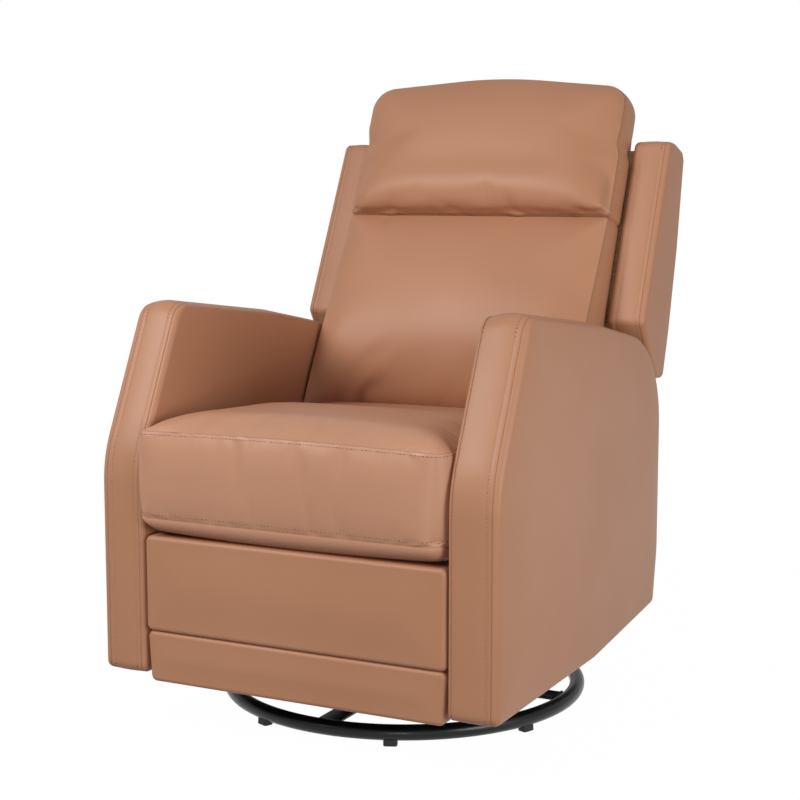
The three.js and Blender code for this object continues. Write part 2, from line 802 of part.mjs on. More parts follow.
function buildWings(back) {
  const outline = roundedOutline([
    [0, wingElbow, wingCornerRadius],
    [wingTail.setback, wingTail.rise, wingCornerRadius],
    [wingHeel.setback, wingHeel.rise, wingCornerRadius],
    [wingWaist.setback, wingWaist.rise, shoulderRadius],
    [wingNape.setback, wingNape.rise, shoulderRadius],
    [wingShoulder.setback, wingShoulder.rise, wingCornerRadius],
    [wingCrest.setback, wingCrest.rise, wingCornerRadius],
    [wingCrown.setback, wingCrown.rise, wingCornerRadius],
    [0, wingTop, wingCornerRadius],
  ]);
  const armCut = uprightPlate(
    roundedOutline(inset(armCorners, -wingArmGap)), halfBay - cutOverrun, armWidth + 2 * cutOverrun);
  armCut.applyMatrix4(back.matrixWorld.clone().invert());
  pair(back, 'wing', () => cut(
    uprightPlate(outline, halfBay, wingWidth, { edge: wingEdgeRadius }), armCut), leather);
}

function buildReclineHinges(back) {
  const toBack = back.matrixWorld.clone().invert();
  const { depth, height } = recliningPivot;
  const pin = new THREE.Vector3(0, depth, height).applyMatrix4(toBack);
  const top = postFoot + 3 * eyeRadius + bottomRailFoot;
  const outline = roundedOutline([
    [pin.y - eyeRadius, pin.z - eyeRadius, eyeRadius],
    [pin.y + eyeRadius, pin.z - eyeRadius, eyeRadius],
    [postFront + postDepth, top, eyeRadius],
    [postFront + eyeRadius, top, eyeRadius],
    [postFront + eyeRadius, postFoot, eyeRadius],
  ]);
  pair(back, 'recline_hinge', () => joined(
    uprightPlate(outline, lowerLinkLayer, plateThickness),
    crossPin(pin.y, pin.z, sidePlateLayer - plateThickness, lowerLinkLayer + plateThickness / 2)),
  zincSteel);
}

function buildLowerRearPanel() {
  piece(chair, 'lower_rear_panel', block(
    bayWidth - 2 * seatingGap, valanceThickness, valanceTop - valanceFoot,
    [0, valanceDepth + valanceThickness / 2, (valanceTop + valanceFoot) / 2]), leather);
}

const turntableFoot = buildBase();
const trayFoot = buildTurntable(turntableFoot);
buildGlider(trayFoot);
buildCarriage();
buildArms();
buildSeat();
buildFootrestLinks();
buildFootrestPanel();
buildBack();
buildLowerRearPanel();

// Stand the chair on the origin: the middle of its outline on the floor
chair.updateMatrixWorld(true);
const middle = new THREE.Box3().setFromObject(chair, true).getCenter(new THREE.Vector3());
chair.position.y = -middle.y;

export default chair;
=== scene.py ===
import json
from math import cos, pi, radians, sin

import bmesh
import bpy
import numpy as np
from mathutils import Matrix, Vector
from mathutils.bvhtree import BVHTree


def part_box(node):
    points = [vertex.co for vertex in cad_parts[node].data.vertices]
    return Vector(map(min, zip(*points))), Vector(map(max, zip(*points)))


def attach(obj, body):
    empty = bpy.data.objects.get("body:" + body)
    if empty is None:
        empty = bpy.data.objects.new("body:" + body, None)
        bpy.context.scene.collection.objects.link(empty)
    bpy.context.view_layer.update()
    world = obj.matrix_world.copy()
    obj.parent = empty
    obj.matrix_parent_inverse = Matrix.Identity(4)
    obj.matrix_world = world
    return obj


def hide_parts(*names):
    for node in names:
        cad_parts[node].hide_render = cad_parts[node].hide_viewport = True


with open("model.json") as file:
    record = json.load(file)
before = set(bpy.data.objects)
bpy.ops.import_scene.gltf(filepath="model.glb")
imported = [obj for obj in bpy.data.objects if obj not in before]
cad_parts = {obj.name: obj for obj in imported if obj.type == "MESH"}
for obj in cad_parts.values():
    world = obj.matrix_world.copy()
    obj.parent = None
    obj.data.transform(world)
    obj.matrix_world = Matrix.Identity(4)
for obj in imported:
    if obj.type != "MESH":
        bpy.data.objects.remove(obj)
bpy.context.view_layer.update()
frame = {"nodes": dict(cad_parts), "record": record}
nodes = frame["nodes"]
scene = bpy.context.scene

# Camera. The chair is seen from the viewer's right and from a little above its arms, with a long lens.
camera = bpy.data.objects.new("camera", bpy.data.cameras.new("camera"))
camera.location = (1.2489, -2.5373, 0.8604)
camera.rotation_euler = (radians(90 - 7.392), 0, radians(26.829))
camera.data.sensor_width = 36
camera.data.lens = 75.08
scene.collection.objects.link(camera)
scene.camera = camera


# Base ring. A round steel tube bent into a ring on the floor, closed with one butt weld and coated in
# semi-gloss black powder. The chair turns on a plate at its middle.
# Sizes here and below are in millimetres: across the chair, depth behind the arms' fronts, height.
swivel_depth = 385
ring_radius, ring_tube, ring_height = 295, 12.5, 20.5
arm_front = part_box("arm_cover_left")[0].y


def in_row(points):
    """Points of (across, depth, height) in millimetres, moved to the row's frame in metres."""
    return np.asarray(points, float) * 0.001 + (0, arm_front, 0)


def grid_faces(rows, columns, close_rows=False, close_columns=True):
    """Quads between the neighbours of a grid of points, and across its ends where it closes."""
    row = np.arange(rows if close_rows else rows - 1)[:, None]
    column = np.arange(columns if close_columns else columns - 1)[None, :]
    below, beside = (row + 1) % rows, (column + 1) % columns
    corners = [row * columns + column, row * columns + beside,
               below * columns + beside, below * columns + column]
    return np.stack(np.broadcast_arrays(*corners), -1).reshape(-1, 4).tolist()


def build(name, points, faces, finish, body=None, closed=True):
    """A mesh object from points in the row's frame. A closed shape has its faces turned outwards."""
    mesh = bpy.data.meshes.new(name)
    mesh.from_pydata(np.asarray(points, float).reshape(-1, 3).tolist(), [], faces)
    mesh.validate()
    if closed:
        shape = bmesh.new()
        shape.from_mesh(mesh)
        bmesh.ops.recalc_face_normals(shape, faces=shape.faces)
        shape.to_mesh(mesh)
        shape.free()
    mesh.shade_smooth()
    mesh.materials.append(finish)
    made = bpy.data.objects.new(name, mesh)
    scene.collection.objects.link(made)
    if body:
        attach(made, body)
    return made


def tube_ring(radius, tube, around, section):
    """A ring of round tube: out from the axis by radius + tube cos b, up by tube sin b, turned by a."""
    a = np.linspace(0, 2 * pi, around, endpoint=False)[:, None]
    b = np.linspace(0, 2 * pi, section, endpoint=False)[None, :]
    out = radius + tube * np.cos(b)
    return np.stack([out * np.cos(a), out * np.sin(a), tube * np.sin(b) + 0 * a], -1)


class Wire:
    """A socket of a material's node tree. Sums and products of wires and numbers add Math nodes."""

    def __init__(self, tree, socket=None):
        self.tree, self.socket = tree, socket

    def node(self, kind, settings=(), sockets=(), output=0):
        """Adds a node of a kind, sets it up, then gives its sockets their values or wires."""
        made = self.tree.nodes.new("ShaderNode" + kind)
        for key, value in dict(settings).items():
            setattr(made, key, value)
        for key, value in dict(sockets).items():
            if isinstance(value, Wire):
                self.tree.links.new(value.socket, made.inputs[key])
            else:
                made.inputs[key].default_value = value
        return Wire(self.tree, made.outputs[output])

    def math(self, operation, *values):
        """A Math node on wires and numbers, in their order."""
        return self.node("Math", {"operation": operation}, enumerate(values))

    def __add__(self, other):
        return self.math("ADD", self, other)

    def __sub__(self, other):
        return self.math("SUBTRACT", self, other)

    def __mul__(self, other):
        return self.math("MULTIPLY", self, other)

    def __rsub__(self, other):
        return self.math("SUBTRACT", other, self)

    __radd__, __rmul__ = __add__, __mul__

    def smooth(self, low, high):
        """0 below low, 1 above high, and a smooth step between them."""
        return self.node("MapRange", {"interpolation_type": "SMOOTHSTEP"},
                         {0: self, 1: low, 2: high, 3: 0.0, 4: 1.0})

    def noise(self, place, size, detail=2.0, rough=0.5):
        """Cloudy noise from 0 to 1, with lumps of about one size in metres."""
        return self.node("TexNoise", {}, {"Vector": place, "Scale": 1 / size, "Detail": detail,
                                          "Roughness": rough})

    def cells(self, place, size, feature="F1"):
        """Distance inside cells of about one size in metres."""
        return self.node("TexVoronoi", {"feature": feature}, {"Vector": place, "Scale": 1 / size})

    def bump(self, strength, distance, **others):
        """A surface's normal, raised by this wire to a height in metres."""
        return self.node("Bump", {}, {"Strength": strength, "Distance": distance, "Height": self, **others})

    def blend(self, first, second):
        """From one colour to another, by this wire."""
        return self.node("Mix", {"data_type": "RGBA"}, {0: self, 6: first, 7: second}, output=2)


def finish(name, fixed, varying):
    """A material: fixed values are set on the shader's own sockets, and varying(start, place) gives the
    wires of those that change over the surface, where place is the object's own coordinates."""
    material = bpy.data.materials.new(name)
    material.use_nodes = True
    tree = material.node_tree
    shader = tree.nodes["Principled BSDF"]
    for key, value in fixed.items():
        shader.inputs[key].default_value = value
    start = Wire(tree)
    place = start.node("TexCoord", output=3)
    for key, wire in varying(start, place).items():
        tree.links.new(wire.socket, shader.inputs[key])
    return material


def linear(red, green, blue):
    """A colour given as on a screen, from 0 to 255, in the linear values that a shader takes."""
    share = np.array([red, green, blue]) / 255
    low, high = share / 12.92, ((share + 0.055) / 1.055) ** 2.4
    return (*np.where(share <= 0.04045, low, high).tolist(), 1.0)


def powder_coat(start, place):
    """Powder paint flows into a fine orange peel, with dust in it and a duller film on top."""
    peel = start.noise(place, 0.0016, 3)
    dust = start.noise(place, 0.05, 4).smooth(0.45, 0.75)
    speck = start.cells(place, 0.0009).smooth(0.0, 0.25)
    return {
        "Base Color": dust.blend(linear(9, 10, 13), linear(17, 18, 22)),
        "Roughness": 0.3 + 0.12 * dust + 0.06 * (1 - speck),
        "Normal": peel.bump(0.35, 0.0002),
    }


black_steel = finish("black_powder_coat", {"Specular IOR Level": 0.3, "Coat Roughness": 0.12,
                                           "Coat Weight": 0.06}, powder_coat)

ring_steps, tube_steps, weld_angle, weld_rise = 360, 28, 0.008, 0.09
ring_points = tube_ring(ring_radius, ring_tube, ring_steps, tube_steps)
ring_middle = tube_ring(ring_radius, 0, ring_steps, tube_steps)
butt_weld = np.exp(-(np.arctan2(ring_points[..., 0], ring_points[..., 1]) / weld_angle) ** 2)
thickening = 1 + weld_rise * butt_weld * (1 + 0.3 * np.sin(np.arange(tube_steps) * 2.2))
ring_points = ring_middle + (ring_points - ring_middle) * thickening[..., None]
base_ring = build("ring_of_tube", in_row(ring_points + (0, swivel_depth, ring_height)),
                  grid_faces(ring_steps, tube_steps, close_rows=True), black_steel, "base")
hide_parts("base_ring")


# Crossbars. Two flat steel bars lie crosswise in the ring, one over the other, with their long edges rounded
# by rolling and their ends welded to the tube all round. They carry the turntable.
bar_half, bar_thickness, bar_step, bar_clearance, ring_facets = 19, 5, 5.3, 1.1, 44
bead_radius, bead_steps = 2.2, 76


def unit(vectors):
    """Vectors of length 1 in the same directions."""
    return vectors / np.maximum(np.linalg.norm(vectors, axis=-1, keepdims=True), 1e-9)


def reach_along(line):
    """Each point's distance from the first one, along an open line."""
    return np.concatenate([[0], np.cumsum(np.linalg.norm(np.diff(line, axis=0), axis=1))])


def oblong(half, low, high, radius):
    """The corners of a rectangle about the middle, each with its radius."""
    return [(-half, low, radius), (half, low, radius), (half, high, radius), (-half, high, radius)]


def rounded(corners):
    """A closed outline through corners of (across, up, radius), run anticlockwise. Each corner is an arc
    that touches both sides. Returns the points and the number of each arc's middle one."""
    corners, arc_points = np.array(corners, float), 17
    here = corners[:, :2]
    arriving, leaving = here - np.roll(here, 1, 0), np.roll(here, -1, 0) - here
    shorter = np.minimum(np.linalg.norm(arriving, axis=1), np.linalg.norm(leaving, axis=1))
    arriving, leaving = unit(arriving), unit(leaving)
    turn = np.arctan2(arriving[:, 0] * leaving[:, 1] - arriving[:, 1] * leaving[:, 0],
                      (arriving * leaving).sum(1))
    bend = np.abs(np.tan(turn / 2))
    reach = np.minimum(corners[:, 2] * bend, shorter / 2)
    radius = reach / np.maximum(bend, 1e-9) * np.sign(turn)
    inward = np.stack([-arriving[:, 1], arriving[:, 0]], -1)
    angle = np.linspace(0, 1, arc_points) * turn[:, None]
    along = (radius[:, None] * np.sin(angle))[..., None] * arriving[:, None]
    aside = (radius[:, None] * (1 - np.cos(angle)))[..., None] * inward[:, None]
    points = (here - arriving * reach[:, None])[:, None] + along + aside
    return points.reshape(-1, 2), np.arange(len(corners)) * arc_points + arc_points // 2


def inward_normals(line):
    """At each point of a closed line, the direction between its neighbours, turned left."""
    tangent = unit(np.roll(line, -1, 0) - np.roll(line, 1, 0))
    return np.stack([-tangent[:, 1], tangent[:, 0]], -1)


def prism(line, low, high, edge):
    """A closed outline carried from low to high, with edges rounded by a radius: rows of the outline, drawn
    in by radius (1 - sin a) at radius (1 - cos a) from the end, and a flat end on each side."""
    line = line[np.linalg.norm(line - np.roll(line, 1, 0), axis=1) > 1e-4]
    angle = np.linspace(0, pi / 2, 5)
    drawn, rise = edge * (1 - np.sin(angle)), edge * (1 - np.cos(angle))
    drawn, height = np.concatenate([drawn, drawn[::-1]]), np.concatenate([low + rise, high - rise[::-1]])
    rows = line[None] + inward_normals(line)[None] * drawn[:, None, None]
    points = np.concatenate([rows, np.broadcast_to(height[:, None, None], (*rows.shape[:2], 1))], -1)
    count = len(line)
    ends = [list(range(count))[::-1], list(range(count * (len(drawn) - 1), count * len(drawn)))]
    return points.reshape(-1, 3), grid_faces(len(drawn), count) + ends


def round_wire(points, radius, sides):
    """A round wire along an open line: rings of points + radius (cos b side + sin b up), where side lies level
    and square to the line. Returns the rings' points and the faces, with both ends closed."""
    tangent = unit(np.gradient(points, axis=0))
    side = unit(np.cross(tangent, (0, 0, 1.0)))
    up = np.cross(side, tangent)
    angle = np.linspace(0, 2 * pi, sides, endpoint=False)[None, :, None]
    radius = np.broadcast_to(radius, len(points))[:, None, None]
    rows = points[:, None] + radius * (np.cos(angle) * side[:, None] + np.sin(angle) * up[:, None])
    last = sides * (len(points) - 1)
    return rows, grid_faces(len(points), sides) + [list(range(sides)), list(range(last, last + sides))]


def weld_bead(name, points):
    """A fillet of weld along a line: a round wire whose radius ripples every 2 mm, as the pool froze, and
    fades out over 2 mm at both ends."""
    reach = reach_along(points)
    fade = np.clip(np.minimum(reach, reach[-1] - reach) / 2, 0.05, 1)
    rows, faces = round_wire(points, bead_radius * (1 + 0.1 * np.sin(reach * pi)) * fade, 10)
    bead = build(name, in_row(rows), faces, black_steel, "base")


bar_reach = (ring_radius - ring_tube) * cos(pi / ring_facets) - bar_clearance
outline, _ = rounded(oblong(bar_half, -bar_reach, bar_reach, 1))
for bar_name, height, lengthwise in (("crossbar_lengthwise", ring_height, True),
                                     ("crossbar_sideways", ring_height + bar_step, False)):
    points, faces = prism(outline, height - bar_thickness / 2, height + bar_thickness / 2, 1.6)
    if not lengthwise:
        points = points[:, [1, 0, 2]] * (-1, 1, 1)
    bar = build(bar_name + "_rolled", in_row(points + (0, swivel_depth, 0)), faces, black_steel, "base")
    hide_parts(bar_name)
    for end, sign in (("near", -1), ("far", 1)):
        across = np.linspace(-bar_half + 1, bar_half - 1, bead_steps)
        out = np.sqrt((ring_radius - ring_tube * 0.93) ** 2 - across ** 2) * sign
        bead_line = np.stack([across, out, np.full(bead_steps, height + 3.0)], -1)
        if not lengthwise:
            bead_line = bead_line[:, [1, 0, 2]]
        weld_bead(f"{bar_name}_weld_{end}", bead_line + (0, swivel_depth, 0))


# Feet. Eight moulded rubber blocks are clipped under the tube and keep the ring off the floor. They grow
# narrower towards the tube, and their corners are rounded so that they slide out of the mould.
foot_count, first_foot = 8, -22.5
foot_half_width, foot_half_length, foot_height = 8.5, 11, 15


def moulded_rubber(start, place):
    """Matt rubber with a fine spark-eroded texture and grey scuffs low down, where it meets the floor."""
    texture = start.noise(place, 0.0006, 2)
    height = start.node("SeparateXYZ", {}, {"Vector": place}, output=2)
    scuff = (1 - height.smooth(0.0, 0.005)) * start.noise(place, 0.004, 3).smooth(0.4, 0.7)
    return {
        "Base Color": scuff.blend(linear(12, 12, 13), linear(40, 39, 38)),
        "Roughness": 0.62 + 0.2 * scuff,
        "Normal": texture.bump(0.4, 0.0002),
    }


foot_rubber = finish("moulded_rubber", {}, moulded_rubber)
outline, _ = rounded(oblong(foot_half_width, -foot_half_length, foot_half_length, 4))
points, faces = prism(outline, 0, foot_height, 1.5)
out, along, height = points.T
out = ring_radius + out * (1 - 0.16 * np.clip((height - 7) / 8, 0, 1))
for number in range(foot_count):
    angle = radians(first_foot) + 2 * pi * number / foot_count
    turned = np.stack([out * cos(angle) - along * sin(angle), out * sin(angle) + along * cos(angle), height], -1)
    foot = build(f"foot_block_{number + 1}", in_row(turned + (0, swivel_depth, 0)), faces, foot_rubber, "base")
    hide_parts(f"foot_{number + 1}")


# Swivel and glider. Pressed steel plates with a bright zinc skin carry the seat: a turntable with a cage of
# balls, then four links that swing on riveted pins. The tray and its brackets are painted black.
def zinc_plate(start, place):
    """Zinc plating: drawn lines along the sheet, pale spangle cells and dull finger marks."""
    spangle = start.cells(place, 0.006)
    stretched = start.node("Mapping", {}, {"Vector": place, "Scale": (40.0, 900.0, 900.0)})
    lines = start.noise(stretched, 1.0)
    dull = start.noise(place, 0.03, 4).smooth(0.4, 0.7)
    return {
        "Base Color": dull.blend(linear(172, 175, 178), linear(140, 141, 140)),
        "Roughness": 0.3 + 0.16 * dull + 0.1 * spangle,
        "Normal": lines.bump(0.25, 0.0001),
    }


zinc_steel = finish("zinc_plate", {"Metallic": 1.0}, zinc_plate)


# Frames. Plywood boxes and boards stand inside the arms, the back and the footrest, with elastic webbing across
# the back. These hidden parts keep the CAD's shapes and get their finish here, as the steel ones do.
def sawn_plywood(start, place):
    """Plywood: veneer grain along the board, thin dark glue lines between plies and saw marks."""
    stretched = start.node("Mapping", {}, {"Vector": place, "Scale": (30.0, 260.0, 260.0)})
    grain = start.noise(stretched, 1.0, 5.0, 0.6)
    figure = start.noise(place, 0.06, 3)
    saw = start.node("TexWave", {"bands_direction": "Z"}, {"Vector": place, "Scale": 160.0, "Distortion": 1.5})
    tone = (grain * 0.7 + figure * 0.3).smooth(0.3, 0.7)
    return {
        "Base Color": tone.blend(linear(176, 136, 88), linear(216, 184, 138)),
        "Roughness": 0.7 + 0.15 * grain,
        "Normal": (grain + 0.3 * saw).bump(0.3, 0.0004),
    }


plywood = finish("sawn_plywood", {}, sawn_plywood)


def elastic_webbing(start, place):
    """Woven elastic tape: ribs across it every 2 mm, and a dark yarn in every third."""
    ribs = start.node("TexWave", {"bands_direction": "X"}, {"Vector": place, "Scale": 80.0})
    yarns = start.node("TexWave", {"bands_direction": "Z"}, {"Vector": place, "Scale": 40.0})
    return {
        "Base Color": (ribs * yarns).blend(linear(58, 60, 58), linear(112, 114, 108)),
        "Roughness": 0.85 + 0.1 * ribs,
        "Normal": (ribs * 0.6 + yarns * 0.4).bump(0.6, 0.0006),
    }


webbing = finish("elastic_webbing", {}, elastic_webbing)
finish_of_slot = {"black_steel": black_steel, "zinc_steel": zinc_steel, "plywood": plywood,
                  "webbing": webbing, "foot_rubber": foot_rubber}
for part in frame["record"]["subparts"]:
    if part["material_slot"] in finish_of_slot:
        mesh = nodes[part["node"]].data
        mesh.materials.clear()
        mesh.materials.append(finish_of_slot[part["material_slot"]])


# Seat springs. Four sinuous springs of zinc-plated wire are hooked between the front and rear rails of the seat
# carriage, and swing from side to side nine times on the way. They carry the seat cushion.
spring_count, spring_spacing, spring_wire, spring_waves, spring_reach = 4, 100, 3.6, 9, 24
spring_front, spring_run, spring_height, wave_steps = 109.3, 450.4, 335.0, 22
share = np.linspace(0, 1, spring_waves * wave_steps + 1)
fade = np.clip(spring_waves * np.minimum(share, 1 - share), 0, 1)
sway = spring_reach * fade * np.sin(2 * pi * spring_waves * share)
for number in range(spring_count):
    across = (number - (spring_count - 1) / 2) * spring_spacing
    line = np.stack([across + sway, spring_front + spring_run * share, np.full(len(share), spring_height)], -1)
    rows, faces = round_wire(line, spring_wire / 2, 8)
    spring = build(f"sinuous_spring_{number + 1}", in_row(rows), faces, zinc_steel, "seat")
    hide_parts(f"seat_spring_{number + 1}")


# Arms. Each is a plywood box under a thin layer of foam, in faux leather: a side panel inside and outside,
# and one band that runs up the front, over the top and down the rear. The side panels roll over the edge
# and are sewn to the band, and a line of topstitching holds the seam allowance flat on the band.
arm_half_width, arm_middle = 40, 302
arm_corners = [(0, 92, 14), (400, 92, 180), (696, 119, 14), (714, 216.5, 180), (714, 581, 170),
               (413.5, 635, 170), (113, 671, 36), (0, 433, 180)]


def leather_of(name, light, dark, coat=0.03):
    """Faux leather: a fine pebble grain pressed into a glossy skin, the faintest change of colour from place to
    place, and painted shade in the seams: the colour darkens where the seam attribute is 1, in a seam's valley."""
    def surface(start, place):
        """The skin's colour, gloss and grain."""
        seam = start.node("Attribute", {"attribute_name": "seam"}, output=2)
        clouds = start.noise(place, 0.3, 3, 0.55).smooth(0.3, 0.7)
        pebbles = start.cells(place, 0.0013, "SMOOTH_F1")
        pores = start.noise(place, 0.0007, 2)
        ripple = start.noise(place, 0.07, 2, 0.4)
        tint = clouds.blend(linear(*light), linear(*dark))
        fine = (pebbles * 0.5 + pores * 0.25).bump(0.2, 0.00025)
        return {
            # Painted shade: the base colour is drawn 42 percent of the way to a dark brown in the seams' valleys.
            "Base Color": (seam * 0.42).blend(tint, linear(84, 46, 26)),
            "Roughness": 0.42 + 0.05 * clouds + 0.05 * pebbles + 0.25 * seam,
            "Normal": ripple.bump(0.12, 0.002, Normal=fine),
        }
    return finish(name, {"Specular IOR Level": 0.3, "Coat Weight": coat, "Coat Roughness": 0.35}, surface)


leather = leather_of("tan_leather", (182, 130, 99), (178, 126, 95))
thread = finish("tan_thread", {"Sheen Weight": 0.3}, lambda start, place: {
    "Base Color": start.cells(place, 0.0006).smooth(0.1, 0.5).blend(linear(150, 98, 68), linear(194, 143, 110)),
    "Roughness": 0.55 + 0.1 * start.noise(place, 0.0008),
})
# Painted shade: the needle holes are dark dishes, whose colour stands in for the shade inside a hole.
hole = finish("needle_hole_painted_shade", {"Roughness": 0.9}, lambda start, place: {
    "Base Color": start.noise(place, 0.001).blend(linear(80, 44, 28), linear(100, 60, 42)),
})


def looped(points):
    """A closed line's points, with the first one again at the end."""
    return np.concatenate([points, points[:1]])


def interpolated(lengths, reach, values):
    """Values given at the points of a line, taken at other lengths along it."""
    return np.stack([np.interp(lengths, reach, column) for column in values.T], -1)


def points_along(line, lengths):
    """Points of a closed line at given lengths from its first point."""
    reach = reach_along(looped(line))
    return interpolated(np.mod(lengths, reach[-1]), reach, looped(line))


def spread(length, step):
    """Shares from 0 to 1 along a side: a few close points at each end, where a seam needs them, and even
    steps between."""
    ends, margin = np.array([0, 1.0, 2.2, 4.0, 7.0, 11.0]), 16.0
    inner = np.linspace(margin, length - margin, max(2, round((length - 2 * margin) / step) + 1))
    return np.concatenate([ends, inner, length - ends[::-1]]) / length


class Upholstery:
    """A closed cover of three panels: a band round an outline, and a panel on each side of it.

    The outline lies in two directions, a and b, and the cover's thickness in the third, c. Four of the
    outline's corners split it into sides. The band's rows are copies of the outline, moved out along its
    normal and placed at a height. Each panel fills its last row with a Coons patch, and its height comes
    from a function of a, b and the distance to the panel's edge."""

    def __init__(self, corners, rows, front, rear, four=(0, 1, 2, 3), step=8.0):
        line, middles = rounded(corners)
        reach = reach_along(looped(line))
        starts = reach[middles[list(four)]]
        sides = np.mod(np.roll(starts, -1) - starts, reach[-1])
        across, up = spread((sides[0] + sides[2]) / 2, step), spread((sides[1] + sides[3]) / 2, step)
        shares = [across, up, 1 - across[::-1], 1 - up[::-1]]
        lengths = np.concatenate([starts[n] + shares[n][:-1] * sides[n] for n in range(4)])
        loop = points_along(line, lengths)
        tangent = unit(points_along(line, lengths + 0.6) - points_along(line, lengths - 0.6))
        self.outward = np.stack([tangent[:, 1], -tangent[:, 0]], -1)
        rows, count = np.array(rows, float), len(loop)
        bands = np.concatenate([loop[None] + self.outward[None] * rows[:, :1, None],
                                np.broadcast_to(rows[:, 1, None, None], (len(rows), count, 1))], -1)
        rear_panel = self.panel(bands[0], across, up, rear)
        front_panel = self.panel(bands[-1], across, up, front)
        size = len(rear_panel)
        self.points = np.concatenate([rear_panel, bands[1:-1].reshape(-1, 3), front_panel])
        self.rear = np.arange(size)
        front_start = len(self.points) - size
        nu, nv = len(across) - 1, len(up) - 1
        rim = self.rim_numbers(nu, nv)
        between = np.arange(size, front_start).reshape(-1, count)
        self.rows = np.concatenate([rim[None], between, rim[None] + front_start])
        # The rows' third column is the painted shade of the seams: 1 in a seam's valley, where the leather's colour
        # is darkened.
        self.seam = np.zeros(len(self.points))
        self.seam[self.rows] = rows[:, 2:]
        quads = np.array(grid_faces(nu + 1, nv + 1, close_columns=False))
        band = [np.stack([low, np.roll(low, -1), np.roll(high, -1), high], -1)
                for low, high in zip(self.rows[:-1], self.rows[1:])]
        self.faces = np.concatenate([quads, quads[:, ::-1] + front_start, *band]).tolist()

    def rim_numbers(self, nu, nv):
        """Numbers of a panel's rim, in the outline's order."""
        i = np.concatenate([np.arange(nu), np.full(nv, nu), nu - np.arange(nu), np.zeros(nv, int)])
        j = np.concatenate([np.zeros(nu, int), np.arange(nv), np.full(nu, nv), nv - np.arange(nv)])
        return i * (nv + 1) + j

    def panel(self, rim, across, up, height):
        """Fills a rim: (1 - v) bottom + v top + (1 - u) left + u right, less the plane through the corners."""
        nu, nv = len(across) - 1, len(up) - 1
        flat = rim[:, :2]
        bottom, right = flat[:nu + 1], flat[nu:nu + nv + 1]
        top = flat[nu + nv:2 * nu + nv + 1][::-1]
        left = np.concatenate([flat[2 * nu + nv:], flat[:1]])[::-1]
        u, v = across[:, None, None], up[None, :, None]
        grid = (1 - v) * bottom[:, None] + v * top[:, None] + (1 - u) * left[None] + u * right[None]
        plane = (1 - v) * ((1 - u) * bottom[0] + u * bottom[-1]) + v * ((1 - u) * top[0] + u * top[-1])
        grid = (grid - plane).reshape(-1, 2)
        c = height(grid[:, 0], grid[:, 1], distance_to(grid, flat)) + rim[0, 2]
        return np.concatenate([grid, c[:, None]], -1)


def distance_to(points, line):
    """Each point's distance to a closed line, as the least over the line's straight pieces."""
    start, run = line, np.roll(line, -1, 0) - line
    length = np.maximum((run ** 2).sum(1), 1e-9)
    offset = points[:, None] - start[None]
    share = np.clip((offset * run[None]).sum(-1) / length, 0, 1)
    return np.sqrt(((offset - share[..., None] * run[None]) ** 2).sum(-1).min(1))


def cover(name, form, place, body, node, material=leather):
    """Makes the object of an upholstered form: place turns its a, b and c into the row's frame."""
    made = build(name, place(form.points), form.faces, material, body)
    # The seam attribute carries the painted shade of the seams' valleys to the leather's material.
    attribute = made.data.attributes.new("seam", "FLOAT", "POINT")
    attribute.data.foreach_set("value", form.seam.astype(np.float32))
    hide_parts(node)
    return made


stitch_pitch, stitch_length, thread_radius = 6.1, 4.3, 0.45


def stitching(name, path, body, normals=None, panel=None):
    """A row of stitches along a line, in metres, by given normals or on a panel's surface: each is a short
    thread that dips into the leather at both ends, with a needle hole between one and the next. Thread: a tube
    whose middle line rises by a half sine and whose ends close. Hole: a shallow six-sided dish in a dark colour,
    painted shade that stands for the hole's depth."""
    reach = reach_along(path)
    count = int(reach[-1] / (stitch_pitch * 0.001))
    centres = (np.arange(count) + 0.5) * reach[-1] / count
    ahead = interpolated(centres + 0.001, reach, path) - interpolated(centres - 0.001, reach, path)
    at = interpolated(centres, reach, path)
    if panel:
        surface = BVHTree.FromObject(panel, bpy.context.evaluated_depsgraph_get())
        hits = [surface.find_nearest(Vector(point)) for point in at]
        at, up = np.array([hit[0] for hit in hits]), np.array([hit[1] for hit in hits])
    else:
        up = interpolated(centres, reach, normals)
    ahead = unit(ahead - up * (ahead * up).sum(1, keepdims=True))
    up = unit(up)
    rings, sides = 5, 6
    rim, last = rings * sides, (rings - 1) * sides
    s = np.linspace(-0.5, 0.5, rings)[:, None]
    a = np.linspace(0, 2 * pi, sides, endpoint=False)
    radius = thread_radius * np.array([0.55, 1, 1.05, 1, 0.55])[:, None]
    rise = 0.42 * np.cos(pi * s) - 0.12
    tube = np.stack(np.broadcast_arrays(stitch_length * s, radius * np.cos(a), rise + radius * np.sin(a)), -1)
    tube_faces = grid_faces(rings, sides) + [list(range(sides))[::-1], list(range(last, rim))]
    # Each needle hole's dish takes the dark hole material: painted shade.
    dish = np.stack([stitch_pitch / 2 + 0.95 * np.cos(a), 0.8 * np.sin(a), np.full(sides, 0.12)], -1)
    dish_faces = [[rim + n, rim + (n + 1) % sides, rim + sides] for n in range(sides)]
    shape = np.concatenate([tube.reshape(-1, 3), dish, [[stitch_pitch / 2, 0, -0.2]]]) * 0.001
    points = at[:, None] + np.einsum("sj,njk->nsk", shape, np.stack([ahead, np.cross(up, ahead), up], 1))
    faces = [[corner + len(shape) * number for corner in face]
             for number in range(count) for face in tube_faces + dish_faces]
    made = build(name, points, faces, thread, body, closed=False)
    made.data.materials.append(hole)
    which = np.tile([0] * len(tube_faces) + [1] * len(dish_faces), count)
    made.data.polygons.foreach_set("material_index", which)


